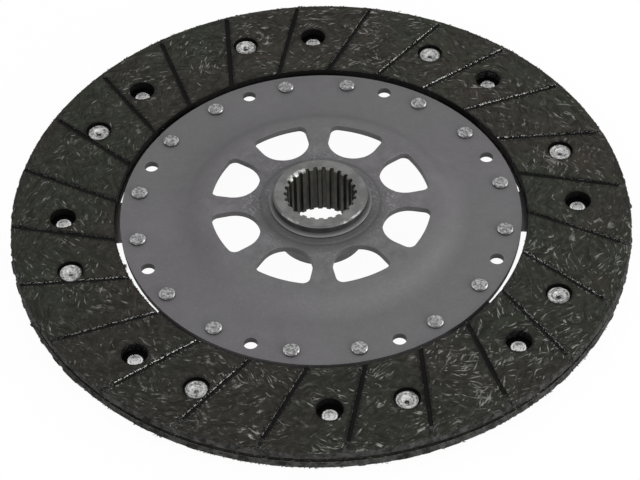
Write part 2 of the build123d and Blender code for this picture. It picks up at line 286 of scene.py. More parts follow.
def plate_steel():
    """Phosphated pressing: smooth matt grey, cloudy near the hub, with painted shade at the windows'
    edges and walls, round the hub's foot on the near side and on the holes' walls near the rim.
    """
    g = Graph("plate_steel")
    point, _, y, _, radius, _ = g.place()
    steep = g.steepness()
    grain = g.noise(point, 2.2, 3, 0.6)
    stain = g.noise(g.swayed(point, 0.05, 12.0), 0.045, 4, 0.6)
    patch = g.noise(point, 0.014, 2, 0.5)
    cloud = g.noise(g.swayed(point, 0.3, 4.0), 0.22, 4, 0.65)
    middle = g.span(radius, DISH_REACH, DISH_REACH - 6.0)
    colour = g.mix(g.span(stain, 0.40, 0.66, smooth=True), grey(100, (1.0, 0.95, 1.01)),
                   grey(105, (1.0, 0.96, 1.01)))
    colour = g.mix(g.span(patch, 0.4, 0.62), colour, grey(102, (1.0, 0.98, 1.0)))
    cloudy = g.math("MULTIPLY_ADD", middle, 0.22, 0.06)
    pale = g.math("MULTIPLY", g.span(cloud, 0.48, 0.66), cloudy)
    colour = g.mix(pale, colour, grey(132, (1.0, 0.98, 1.0)))
    dim = g.math("MULTIPLY", g.span(cloud, 0.46, 0.32), cloudy)
    colour = g.mix(dim, colour, grey(74, (1.0, 0.97, 1.0)))
    speck = g.span(g.noise(point, 0.9, 3, 0.7), 0.54, 0.62)
    spread = g.span(g.noise(point, 0.09, 3, 0.6), 0.46, 0.58)
    spread = g.math("MULTIPLY", g.span(radius, 34.0, 24.0), spread)
    spread = g.math("MULTIPLY_ADD", spread, 0.5, 0.08)
    sides = g.math("MULTIPLY", g.span(g.math("ABSOLUTE", y), 9.0, 4.0), g.span(radius, 31.0, 28.0))
    spread = g.math("MAXIMUM", spread, g.math("MULTIPLY", sides, 0.85))
    colour = g.mix(g.math("MULTIPLY", speck, spread), colour, grey(150))
    colour = g.mix(g.span(grain, 0.35, 0.75, 0.0, 0.16), colour, grey(80, (1, 0.98, 1)))
    # Painted shade on the rounded edges in the dish, round the windows
    rim = g.math("MULTIPLY", middle, g.span(radius, BOSS_FOOT + 1.4, BOSS_FOOT + 2.9))
    rim = g.math("MULTIPLY", g.edges(0.9), rim)
    colour = g.mix(g.math("MULTIPLY", rim, 0.55), colour, grey(66))
    # Painted shade on the upright walls in the dish, the windows' walls
    wall = g.math("MULTIPLY", g.span(steep, 0.45, 0.8), middle)
    colour = g.mix(g.math("MULTIPLY", wall, 0.6), colour, grey(60))
    # Painted shade round the hub's foot on the near side
    hub_foot_shade = g.math("MULTIPLY", g.span(radius, 29.0, 23.0, smooth=True), g.span(y, 9.0, -9.0))
    colour = g.mix(g.math("MULTIPLY", hub_foot_shade, 0.75), colour, grey(78, (1.0, 0.98, 1.0)))
    # Painted shade: a dark line along the boss's foot
    foot = g.span(g.math("ABSOLUTE", g.math("SUBTRACT", radius, BOSS_FOOT)), 1.2, 0.4, 0.0, 0.4)
    colour = g.mix(foot, colour, grey(66))
    # Painted shade on the walls of the holes near the rim
    hole = g.math("MULTIPLY", g.span(steep, 0.45, 0.8),
                  g.span(radius, PLATE_OUT - 18.0, PLATE_OUT - 14.0))
    hole = g.math("MULTIPLY", hole, g.span(radius, PLATE_OUT - 0.4, PLATE_OUT - 0.8))
    colour = g.mix(g.math("MULTIPLY", hole, 0.85), colour, grey(56))
    edge = g.math("MULTIPLY", g.edges(0.5), g.span(radius, PLATE_OUT - 12.0, PLATE_OUT - 8.0))
    edge = g.math("MULTIPLY", edge, g.span(g.noise(point, 0.5, 3), 0.38, 0.6))
    colour = g.mix(g.math("MULTIPLY", edge, 0.4), colour, grey(146))
    streak = g.noise(g.vector("MULTIPLY", point, (0.6, 0.6, 3.0)), 0.7, 4, 0.6)
    rough = g.span(streak, 0.3, 0.7, 0.50, 0.60)
    normal = g.bump(grain, 0.3, 0.04)
    normal = g.bump(stain, 0.25, 0.5, normal)
    return g.finish(colour, rough, normal, metallic=0.25, specular=0.3)


def hub_steel():
    """Machined hub: fine turning lines on the ends, soft stains, a dark oiled spline, painted shade on
    the upright walls, the lip and the front chamfer, two painted glints on that chamfer, and a bright
    patch at the spline's mouth.
    """
    g = Graph("hub_steel")
    point, x, y, z, radius, _ = g.place()
    steep = g.steepness()
    ripple = g.noise(g.add("CombineXYZ", {0: g.math("MULTIPLY", radius, 4.0),
                                          1: g.math("MULTIPLY", z, 3.0)}).outputs[0], 1.0, 3, 0.6)
    stain = g.noise(g.swayed(point, 0.3, 2.0), 0.2, 4, 0.6)
    flat = g.mix(g.span(stain, 0.36, 0.62, smooth=True), grey(98, (1, 1, 0.98)), grey(120, (1, 1, 0.985)))
    flat = g.mix(g.span(ripple, 0.35, 0.7, 0.0, 0.22), flat, grey(132))
    # Painted shade on the upright walls, less deep below the plate's top
    side = g.mix(g.span(stain, 0.35, 0.65), grey(52), grey(68))
    side = g.mix(g.span(z, LIP_FOOT, LIP_FOOT - 1.0), side, grey(92))
    colour = g.mix(g.span(steep, 0.45, 0.8), flat, side)
    lip = g.math("MULTIPLY", g.span(z, HUB_TOP - 1.2, HUB_TOP - 2.0), g.span(z, LIP_FOOT, LIP_FOOT + 0.2))
    shade = g.mix(g.span(radius, BARREL + 0.2, BARREL + 1.1, smooth=True), grey(64), grey(106))
    colour = g.mix(g.math("MULTIPLY", lip, g.span(steep, 0.95, 0.7)), colour, shade)
    # Painted shade on the front chamfer, with two painted glints on it near the camera
    bevel = g.math("MULTIPLY", g.span(radius, BARREL - 0.8, BARREL - 0.6), g.span(steep, 0.8, 0.6))
    bevel = g.math("MULTIPLY", bevel, g.span(z, HUB_TOP - 0.8, HUB_TOP - 0.6))
    colour = g.mix(g.math("MULTIPLY", bevel, 0.8), colour, grey(86))
    glint = g.math("SUBTRACT", g.math("ABSOLUTE", x), GLINT_ASIDE)
    bright = g.span(g.math("ABSOLUTE", glint), 4.5, 2.5)
    bright = g.math("MULTIPLY", bright, g.span(g.noise(point, 0.35, 3, 0.6), 0.42, 0.58))
    bright = g.math("MULTIPLY", bright, g.span(y, -9.0, -11.0))
    colour = g.mix(g.math("MULTIPLY", bevel, bright), colour, grey(176))
    inside = g.math("MULTIPLY", g.span(radius, SPLINE_REACH + 0.2, SPLINE_REACH + 0.05),
                    g.span(steep, 0.15, 0.6))
    oil = g.mix(g.span(g.noise(point, 0.35, 3), 0.4, 0.7), grey(50, (1.02, 1, 0.80)),
                grey(70, (1.02, 1, 0.84)))
    colour = g.mix(inside, colour, oil)
    worn = g.math("MULTIPLY", g.edges(0.35), g.span(g.noise(point, 0.9, 3), 0.42, 0.6))
    worn = g.math("MULTIPLY", worn, g.blend(inside, 0.85, 0.15))
    worn = g.math("MULTIPLY", worn, g.span(radius, BARREL - 1.5, BARREL - 2.1, 0.12, 1.0))
    colour = g.mix(worn, colour, grey(190))
    # A bright patch on the face at the spline's mouth, towards one way
    outward = g.vector("NORMALIZE", g.vector("MULTIPLY", point, (1, 1, 0)))
    towards = g.vector("DOT_PRODUCT", outward, BRIGHT_PATCH_WAY)
    bright_patch = g.math("MULTIPLY", g.span(towards, 0.93, 0.985),
                      g.span(radius, SPLINE_REACH + 1.0, SPLINE_REACH))
    bright_patch = g.math("MULTIPLY", bright_patch, g.span(g.noise(point, 0.8, 3, 0.6), 0.40, 0.52))
    bright_patch = g.math("MULTIPLY", bright_patch, g.span(z, HUB_TOP - 1.0, HUB_TOP - 0.6))
    colour = g.mix(bright_patch, colour, grey(225, (1, 1, 0.97)))
    rough = g.blend(inside, g.span(stain, 0.3, 0.7, 0.36, 0.52), 0.5)
    normal = g.bump(ripple, 0.2, 0.05)
    normal = g.bump(g.noise(point, 1.4, 3), 0.3, 0.10, normal)
    return g.finish(colour, rough, normal, metallic=0.45, specular=0.4)


def yarn(g, bent, side, fine, stretch):
    """Streaks that run along one family of the wound yarn's swinging paths."""
    x, y, _, radius, heading = g.polar(bent)
    along = g.math("DIVIDE", g.math("SUBTRACT", radius, YARN_MIDDLE), YARN_SWING)
    along = g.math("MINIMUM", g.math("MAXIMUM", along, -0.97), 0.97)
    phase = g.math("MULTIPLY", g.math("ARCSINE", along), side)
    phase = g.math("SUBTRACT", phase, g.math("MULTIPLY", heading, float(YARN_WAVES)))
    across = g.add("CombineXYZ", {
        0: g.math("MULTIPLY", g.math("COSINE", phase), YARN_SPREAD),
        1: g.math("MULTIPLY", g.math("SINE", phase), YARN_SPREAD),
        2: g.math("MULTIPLY", x, stretch)}).outputs[0]
    return g.noise(across, fine, 2, 0.55, w=g.math("MULTIPLY", y, stretch))


def hole_distance(g, radius, heading):
    """Distance in millimetres from the middle of the nearest rivet hole of the lining."""
    nearest = 1000.0
    for own in HOLE_HEADINGS:
        turn = g.math("MULTIPLY_ADD", heading, HOLES / (2 * pi), 0.5 - own * HOLES / 360)
        turn = g.math("SUBTRACT", g.math("FRACT", turn), 0.5)
        angle = g.math("MULTIPLY", turn, 2 * pi / HOLES)
        dx = g.math("SUBTRACT", g.math("MULTIPLY", radius, g.math("COSINE", angle)), HOLE_CIRCLE)
        dy = g.math("MULTIPLY", radius, g.math("SINE", angle))
        away = g.math("SQRT", g.math("MULTIPLY_ADD", dx, dx, g.math("MULTIPLY", dy, dy)))
        nearest = g.math("MINIMUM", away, nearest)
    return nearest


def near_groove(g, x, y):
    """Distance in millimetres from the middle line of the nearest groove."""
    y = g.math("SUBTRACT", y, GROOVE_SHIFT)
    square = g.math("MULTIPLY_ADD", x, x, g.math("MULTIPLY", y, y))
    along = g.math("SQRT", g.math("MAXIMUM", g.math("SUBTRACT", square, GROOVE_OFFSET ** 2), 1.0))
    turn = g.math("SUBTRACT", g.math("ARCTAN2", y, x), g.math("ARCTAN2", GROOVE_OFFSET, along))
    turn = g.math("MULTIPLY_ADD", turn, GROOVES / (2 * pi), 0.5 - GROOVE_HEADING * GROOVES / 360)
    turn = g.math("SUBTRACT", g.math("FRACT", turn), 0.5)
    return g.math("MULTIPLY", g.math("ABSOLUTE", turn), g.math("MULTIPLY", along, 2 * pi / GROOVES))


def yarn_layers(g, point):
    """Streaks and strokes of the two crossing yarn families, each on top in patches of its own."""
    bent = g.swayed(point, 0.10, 8.0)
    over = g.span(g.noise(g.swayed(point, 0.3, 3.0), 0.11, 3, 0.6), 0.46, 0.54, smooth=True)
    weave = g.blend(over, yarn(g, bent, 1.0, 0.70, 0.16), yarn(g, bent, -1.0, 0.70, 0.16))
    stroke = g.blend(over, yarn(g, bent, 1.0, 0.95, 0.24), yarn(g, bent, -1.0, 0.95, 0.24))
    return weave, stroke


def resin_colour(g, point, weave):
    """Dark resin in brown and green patches, duller on one side, with the weave and smears in it."""
    patch = g.noise(point, 0.021, 3, 0.5)
    resin = g.mix(g.span(patch, 0.40, 0.60, smooth=True), grey(54, (1.13, 0.96, 0.80)),
                  grey(54, (0.91, 1.04, 0.76)))
    other = g.noise(g.vector("ADD", point, (300, 40, 0)), 0.035, 3, 0.5)
    resin = g.mix(g.span(other, 0.45, 0.62, 0.0, 0.7), resin, grey(50, (1.0, 1.0, 0.89)))
    dusk = g.span(g.vector("DOT_PRODUCT", point, DULL_WAY), 10.0 - RING_OUT, RING_OUT - 10.0, 0.0, 0.5)
    resin = g.mix(dusk, resin, grey(34, (1.04, 0.98, 0.84)))
    colour = g.mix(g.span(weave, 0.58, 0.36, 0.0, 0.8), resin, grey(30, (1.0, 1.0, 0.86)))
    smear = g.noise(g.swayed(point, 0.4, 2.0), 0.42, 3, 0.6)
    return g.mix(g.span(smear, 0.50, 0.72, 0.0, 0.45), colour, grey(70, (1.0, 1.0, 0.86)))


def near_heading(g, heading, degrees, low, high, to_low, to_high):
    """A ramp over the cosine of the angle from a heading."""
    turn = g.math("COSINE", g.math("SUBTRACT", heading, radians(degrees)))
    return g.span(turn, low, high, to_low, to_high)


def broken_strokes(g, point, heading, stroke):
    """The yarn strokes broken into dashes, crowded in fields on the busy side and the far side."""
    crowd = g.span(g.noise(g.vector("ADD", point, (0, 500, 0)), 0.055, 3, 0.6), 0.45, 0.58, smooth=True)
    busy = near_heading(g, heading, BUSY_HEADING, 0.25, 0.8, 0.45, 1.0)
    far = near_heading(g, heading, FAR_HEADING, 0.86, 0.97, 0.0, 1.0)
    crowd = g.math("MULTIPLY", crowd, g.math("MAXIMUM", busy, far))
    broken = g.span(g.noise(point, 0.45, 2, 0.6), 0.42, 0.54)
    stroke = g.math("MULTIPLY", g.span(stroke, 0.54, 0.64), broken)
    return g.math("MULTIPLY", stroke, g.math("MULTIPLY_ADD", crowd, 0.75, 0.16))


def groove_wall_light(g, point, heading):
    """How brightly the light yarn ends in the grooves' walls show, as painted light: most near headings
    of
    50, 230 and 333 degrees, and in patches."""
    wall_light = g.math("COSINE", g.math("MULTIPLY_ADD", heading, 2.0, -1.75))
    aside = near_heading(g, heading, ASIDE_HEADING, 0.92, 0.97, 0.0, 0.7)
    wall_light = g.math("MAXIMUM", g.span(wall_light, 0.25, 0.95, 0.08, 1.0), aside)
    return g.math("MULTIPLY", wall_light, g.span(g.noise(point, 0.05, 2), 0.38, 0.55, 0.4, 1.0))


def torn_edges(g, colour, point, x, y, radius, wall_light):
    """Ragged dark tearing along the grooves, with light specks brightened by heading as painted light."""
    away = near_groove(g, x, y)
    ragged = g.span(g.noise(point, 1.0, 3, 0.7), 0.42, 0.66, 0.0, 1.5)
    ragged = g.math("ADD", ragged, GROOVE_HALF)
    torn = g.math("MULTIPLY", g.span(g.math("SUBTRACT", away, ragged), 0.3, -0.1),
                  g.span(radius, RING_OUT - 2.6, RING_OUT - 3.8))
    torn = g.math("MULTIPLY", torn, g.span(g.noise(point, 0.06, 2), 0.40, 0.58, 0.45, 0.85))
    colour = g.mix(torn, colour, grey(22, (1, 1, 0.92)))
    speck = g.math("MULTIPLY", g.span(away, 1.9, 1.3), g.span(g.noise(point, 1.5, 2, 0.6), 0.60, 0.66))
    speck = g.math("MULTIPLY", speck, g.math("MULTIPLY", wall_light, 0.8))
    return g.mix(speck, colour, grey(150, (1, 1, 0.93)))


def groove_floor(g, z, steep):
    """1 on the floors of the grooves of both rings."""
    front = g.math("MULTIPLY", g.span(z, FRONT_FACE - 0.5, FRONT_FACE - 0.7),
                   g.span(z, FRONT_FACE - 1.4, FRONT_FACE - 1.2))
    rear = g.math("MULTIPLY", g.span(z, REAR_FACE + 0.5, REAR_FACE + 0.7),
                  g.span(z, REAR_FACE + 1.4, REAR_FACE + 1.2))
    return g.math("MULTIPLY", g.math("MAXIMUM", front, rear), g.span(steep, 0.5, 0.2))


def friction_lining():
    """Wound yarn in dark resin: crossing streaks, strokes of fibre, pits, rough cut walls; painted shade
    in the pits, on the cut walls, groove floors and inner walls and in the rivet holes, and painted light
    on the cut walls' yarn ends.
    """
    g = Graph("friction_lining")
    point, x, y, z, radius, heading = g.place()
    steep = g.steepness()
    weave, stroke = yarn_layers(g, point)
    colour = resin_colour(g, point, weave)
    stroke = broken_strokes(g, point, heading, stroke)
    bright = g.span(g.noise(point, 0.3, 2, 0.5), 0.35, 0.65)
    light = g.mix(bright, grey(78, (1, 0.99, 0.88)), grey(150, (1, 1, 0.93)))
    colour = g.mix(stroke, colour, light)
    # Painted shade in small pits
    pit_shade = g.span(g.noise(point, 1.0, 3, 0.7), 0.38, 0.26)
    colour = g.mix(g.math("MULTIPLY", pit_shade, 0.65), colour, grey(22))

    wall_light = groove_wall_light(g, point, heading)
    colour = torn_edges(g, colour, point, x, y, radius, wall_light)
    # The cut walls: dark as painted shade, with light yarn ends brightened by heading as painted light
    dots = g.span(g.noise(point, 1.25, 2, 0.6), 0.50, 0.57)
    cut = g.mix(g.math("MULTIPLY", dots, wall_light), grey(22, (1, 1, 0.90)), grey(235, (1, 0.99, 0.94)))
    fibre = g.noise(g.vector("MULTIPLY", point, (1.0, 1.0, 1.4)), 1.5, 3, 0.7)
    rim = g.mix(g.span(z, MIDDLE, MIDDLE - 1.0), grey(58, (1, 0.99, 0.92)), grey(108, (1, 0.99, 0.93)))
    rim = g.mix(g.span(fibre, 0.62, 0.42), rim, grey(30, (1, 1, 0.92)))
    outside = g.math("MAXIMUM", g.span(radius, RING_OUT - 0.5, RING_OUT - 0.3),
                     g.span(radius, RING_IN + 0.5, RING_IN + 0.3))
    colour = g.mix(g.span(steep, 0.4, 0.7), colour, g.mix(outside, cut, rim))
    # Painted shade on the groove floors
    colour = g.mix(g.math("MULTIPLY", groove_floor(g, z, steep), 0.8), colour, grey(26))
    # Painted shade on the rings' inner walls
    inner = g.math("MULTIPLY", g.span(radius, RING_IN + 0.6, RING_IN + 0.4), g.span(steep, 0.2, 0.5))
    colour = g.mix(g.math("MULTIPLY", inner, 0.9), colour, grey(12))
    gap = hole_distance(g, radius, heading)
    inside = g.span(gap, HOLE_RADIUS + 0.12, HOLE_RADIUS - 0.02)
    # A ragged dark ring round each rivet hole
    around = g.span(gap, HOLE_RADIUS + 1.5, HOLE_RADIUS + 0.2)
    hole_halo = g.math("MULTIPLY", around, g.span(g.noise(point, 0.7, 3, 0.7), 0.36, 0.60, 0.1, 0.75))
    colour = g.mix(hole_halo, colour, grey(22, (1, 1, 0.94)))
    # Painted shade on the rivet holes' walls
    colour = g.mix(g.math("MULTIPLY", inside, g.span(steep, 0.15, 0.4)), colour, grey(10))

    rough = g.span(weave, 0.35, 0.65, 0.70, 0.9)
    normal = g.bump(g.math("MULTIPLY_ADD", stroke, 0.6, weave), 0.6, 0.30)
    coarse = g.math("MULTIPLY", g.noise(point, 1.4, 4, 0.65), g.blend(outside, 0.16, 0.6))
    normal = g.bump(coarse, 0.6, 1.0, normal)
    return g.finish(colour, rough, normal, specular=0.06)


def fibre_material(name, low, high, tint, specular=0.5):
    """Loose glass and brass-grey fibre, from dull to light."""
    g = Graph(name)
    point = g.place()[0]
    vary = g.noise(point, 0.35, 2, 0.6)
    colour = g.mix(g.span(vary, 0.36, 0.64), grey(low, tint), grey(high, tint))
    fine = g.noise(point, 4.0, 2, 0.6)
    colour = g.mix(g.span(fine, 0.4, 0.7, 0, 0.5), colour, grey(low * 0.8, tint))
    return g.finish(colour, g.span(fine, 0.3, 0.7, 0.45, 0.7), g.bump(fine, 0.4, 0.05), specular=specular)


def spring_steel():
    """Tempered spring strip: blue-grey with brown heat tint and drawn streaks, nearly black as painted
    shade where it lies between the rings.
    """
    g = Graph("spring_steel")
    point, _, _, _, radius, _ = g.place()
    tint = g.noise(point, 0.05, 3, 0.55)
    streak = g.noise(g.vector("MULTIPLY", point, (3.0, 3.0, 1.0)), 0.5, 4, 0.65)
    colour = g.mix(g.span(tint, 0.35, 0.65, smooth=True), grey(86, (0.96, 1.0, 1.12)),
                   grey(96, (1.08, 1.0, 0.9)))
    colour = g.mix(g.span(streak, 0.4, 0.7, 0, 0.4), colour, grey(66))
    worn = g.math("MULTIPLY", g.edges(0.3), g.span(g.noise(point, 0.8, 3), 0.4, 0.6))
    colour = g.mix(worn, colour, grey(150))
    # Painted shade: almost black from just beyond the rings' inner edge outward
    between_rings_shade = g.math("MULTIPLY", g.span(radius, RING_IN, RING_IN + 2.0), 0.93)
    colour = g.mix(between_rings_shade, colour, grey(14))
    rough = g.span(streak, 0.3, 0.7, 0.32, 0.48)
    return g.finish(colour, rough, g.bump(streak, 0.3, 0.05), metallic=0.7, specular=0.2)


def plate_rivet_steel():
    """Upset steel heads: light mottled tops, rounded edges painted light to the left and right and on the
    far side, and painted shade on the upright sides.
    """
    g = Graph("plate_rivet_steel")
    point = g.place()[0]
    steep = g.steepness()
    mottle = g.noise(point, 0.9, 4, 0.7)
    colour = g.mix(g.span(mottle, 0.42, 0.58), grey(98), grey(172))
    dark = g.span(g.noise(point, 1.3, 3, 0.6), 0.42, 0.30)
    colour = g.mix(g.math("MULTIPLY", dark, 0.6), colour, grey(66))
    # Painted light on the rounded edges: a painted highlight to the left and right, lighter on the far
    # side, darker on the near side
    bevel = g.math("MULTIPLY", g.span(steep, 0.10, 0.25), g.span(steep, 0.8, 0.5))
    nx, ny, _ = g.add("SeparateXYZ", {0: g.add("NewGeometry").outputs["Normal"]}).outputs
    aside = g.span(g.math("ABSOLUTE", nx), 0.28, 0.62)
    aside = g.math("MULTIPLY", aside, g.span(g.noise(point, 0.8, 2), 0.36, 0.56))
    far_lit_bevel = g.mix(g.span(ny, -0.1, 0.2), grey(78), grey(150))
    colour = g.mix(g.math("MULTIPLY", bevel, 0.9), colour, g.mix(aside, far_lit_bevel, grey(212)))
    # Painted shade on the upright sides
    colour = g.mix(g.math("MULTIPLY", g.span(steep, 0.7, 0.95), 0.85), colour, grey(36))
    rough = g.blend(bevel, g.span(mottle, 0.3, 0.7, 0.36, 0.5), 0.22)
    normal = g.bump(mottle, 0.6, 0.2)
    return g.finish(colour, rough, normal, metallic=0.4)


def bright_rivet_metal():
    """Bright half-hollow rivets: silver, hammered by the riveting tool, with a painted highlight on the
    funnel and painted shade on the walls and at the hole's end.
    """
    g = Graph("bright_rivet_metal")
    point, x, y, z, radius, heading = g.place()
    mottle = g.noise(point, 1.0, 4, 0.7)
    turned = g.add("CombineXYZ", {
        0: g.math("MULTIPLY", hole_distance(g, radius, heading), 1.5),
        1: g.math("MULTIPLY", x, 0.22), 2: g.math("MULTIPLY", y, 0.22)}).outputs[0]
    turned = g.noise(turned, 1.0, 2, 0.6)
    shine = g.blend(0.5, g.span(mottle, 0.44, 0.56), g.span(turned, 0.45, 0.55))
    colour = g.mix(shine, grey(66, (1, 1, 0.97)), grey(212, (1, 1, 0.98)))
    scuff = g.span(g.noise(point, 1.7, 3, 0.7), 0.46, 0.34)
    colour = g.mix(g.math("MULTIPLY", scuff, 0.7), colour, grey(70))
    level = g.math("ABSOLUTE", g.math("SUBTRACT", z, MIDDLE))
    ring = g.mix(g.span(level, 0.3, 0.7), grey(236, (1, 1, 0.98)), grey(255))
    ring = g.mix(g.span(g.noise(point, 0.8, 3, 0.7), 0.46, 0.36, 0.0, 0.7), ring, grey(90))
    rolled = g.span(level, ROLLED_HEIGHT + 0.05, ROLLED_HEIGHT - 0.05)
    colour = g.mix(rolled, colour, ring)
    steep = g.steepness()
    # Painted highlight on the funnel's slope
    funnel = g.math("MULTIPLY", g.span(steep, 0.2, 0.35), g.span(steep, 0.8, 0.7))
    funnel = g.math("MULTIPLY", funnel, g.span(g.noise(point, 0.7, 3, 0.6), 0.40, 0.56, 0.0, 0.75))
    colour = g.mix(funnel, colour, grey(210))
    # Painted shade on the upright walls
    wall = g.span(steep, 0.85, 0.99)
    colour = g.mix(g.math("MULTIPLY", wall, 0.5), colour, grey(64))
    worn = g.math("MULTIPLY", g.edges(0.35), g.span(g.noise(point, 0.9, 2), 0.38, 0.55))
    colour = g.mix(g.math("MULTIPLY", worn, 0.7), colour, grey(206))
    # Painted shade in the hollow's end, darker in some rivets than others
    bore = g.math("COMPARE", level, BORE_HEIGHT, BORE_HALF)
    bore_shade = g.span(g.noise(point, 0.031, 1), 0.42, 0.58, 0.05, 0.7)
    bore_shade = g.math("MULTIPLY", bore_shade, g.span(g.noise(point, 0.9, 2), 0.34, 0.54, 0.4, 1.0))
    colour = g.mix(g.math("MULTIPLY", bore, bore_shade), colour, grey(24))
    normal = g.bump(mottle, g.blend(rolled, 0.9, 0.2), 0.28)
    metallic = g.blend(rolled, 0.1, 0.65)
    rough = g.blend(rolled, g.span(mottle, 0.3, 0.7, 0.3, 0.5), 0.25)
    return g.finish(colour, rough, normal, metallic=metallic)


def floor_paper():
    """Pale studio paper: shows white to the camera and still keeps a soft shadow."""
    g = Graph("floor_paper")
    point = g.add("TexCoord").outputs["Object"]
    grain = g.noise(point, 900.0, 2)
    colour = g.mix(g.span(grain, 0.3, 0.7), (0.88, 0.88, 0.88, 1), (0.92, 0.92, 0.92, 1))
    paper = g.add("BsdfDiffuse", {"Color": colour}).outputs[0]
    light = g.add("Emission", {"Color": (1, 1, 1, 1), "Strength": 1.0}).outputs[0]
    path = g.add("LightPath")
    seen = g.math("MAXIMUM", path.outputs["Is Camera Ray"], path.outputs["Is Glossy Ray"])
    seen = g.math("MAXIMUM", seen, path.outputs["Is Transmission Ray"])
    shader = g.add("MixShader", {0: g.math("MULTIPLY", seen, 0.96), 1: paper, 2: light})
    g.add("OutputMaterial", {"Surface": shader.outputs[0]})
    return g.material


def make_world(level):
    """Even light from all round, as in a light tent, and plain white to the camera."""
    world = bpy.data.worlds.new("world")
    world.use_nodes = True
    tree = world.node_tree
    tree.nodes.clear()
    path = tree.nodes.new("ShaderNodeLightPath")
    fill = tree.nodes.new("ShaderNodeBackground")
    fill.inputs["Color"].default_value = (1, 1, 1, 1)
    fill.inputs["Strength"].default_value = level
    white = tree.nodes.new("ShaderNodeBackground")
    white.inputs["Color"].default_value = (1, 1, 1, 1)
    white.inputs["Strength"].default_value = 1.0
    mix = tree.nodes.new("ShaderNodeMixShader")
    out = tree.nodes.new("ShaderNodeOutputWorld")
    tree.links.new(path.outputs["Is Camera Ray"], mix.inputs[0])
    tree.links.new(fill.outputs[0], mix.inputs[1])
    tree.links.new(white.outputs[0], mix.inputs[2])
    tree.links.new(mix.outputs[0], out.inputs[0])
    bpy.context.scene.world = world


# Loose fibres

def add_mesh(name, vertices, faces, material):
    """A smooth piece of loose fibre on the lining, from points in millimetres."""
    mesh = bpy.data.meshes.new(name)
    mesh.from_pydata([Vector(v) * MM for v in vertices], [], faces)
    mesh.update()
    piece = bpy.data.objects.new(name, mesh)
    bpy.context.scene.collection.objects.link(piece)
    mesh.materials.append(material)
    for polygon in mesh.polygons:
        polygon.use_smooth = True
    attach(piece, "root")
    return piece


def groove_heading(index):
    """A groove's heading in degrees."""
    return GROOVE_HEADING + index * 360 / GROOVES


def off_groove(c, s, along, off):
    """A point at a distance along and beside the groove that has this cosine and sine."""
    return along * c - off * s, along * s + off * c + GROOVE_SHIFT


def on_lining(x, y, margin):
    """True where the friction face is whole, clear of edges, grooves and rivet holes."""
    radius = hypot(x, y)
    if radius < RING_IN + 0.8 + margin or radius > RING_OUT - 0.8 - margin:
        return False
    for index in range(GROOVES):
        heading = radians(groove_heading(index))
        if x * cos(heading) + y * sin(heading) > 0:
            away = abs((y - GROOVE_SHIFT) * cos(heading) - x * sin(heading) - GROOVE_OFFSET)
            if away < GROOVE_HALF + margin:
                return False
    for index in range(HOLES):
        for own in HOLE_HEADINGS:
            heading = radians(own + index * 360 / HOLES)
            gap = hypot(x - HOLE_CIRCLE * cos(heading), y - HOLE_CIRCLE * sin(heading))
            if gap < HOLE_RADIUS + margin:
                return False
    return True


def yarn_way(x, y, side):
    """Unit direction of the wound yarn at a point of the friction face."""
    radius = hypot(x, y)
    swing = max(-0.96, min(0.96, (radius - YARN_MIDDLE) / YARN_SWING))
    outward = side * YARN_SWING * YARN_WAVES * sqrt(1 - swing * swing)
    size = hypot(outward, radius)
    outward /= size
    around = radius / size
    c = x / radius
    s = y / radius
    return outward * c - around * s, outward * s + around * c


def strand(points, width, lift, up, vertices, faces):
    """A low ridge along a path: raised middle, narrow ends, and a flat base with points of its own."""
    count = len(points)
    base = len(vertices)
    for index, (x, y, z) in enumerate(points):
        before = points[max(index - 1, 0)]
        after = points[min(index + 1, count - 1)]
        dx = after[0] - before[0]
        dy = after[1] - before[1]
        size = hypot(dx, dy) or 1.0
        share = sin(pi * (index + 0.35) / (count - 0.3))
        half = width / 2 * max(share, 0.12)
        nx = -dy / size * half
        ny = dx / size * half
        left = (x + nx, y + ny, z - up * 0.01)
        right = (x - nx, y - ny, z - up * 0.01)
        vertices.extend((left, (x, y, z + up * lift * max(share, 0.2)), right, left, right))
    stride = 5
    shell = []
    for index in range(count - 1):
        a = base + index * stride
        b = a + stride
        shell.append((a, a + 1, b + 1, b))
        shell.append((a + 1, a + 2, b + 2, b + 1))
        shell.append((a + 3, b + 3, b + 4, a + 4))
    last = base + (count - 1) * stride
    shell.append((base + 4, base + 1, base + 3))
    shell.append((last + 3, last + 1, last + 4))
    faces.extend(shell if up > 0 else [face[::-1] for face in shell])


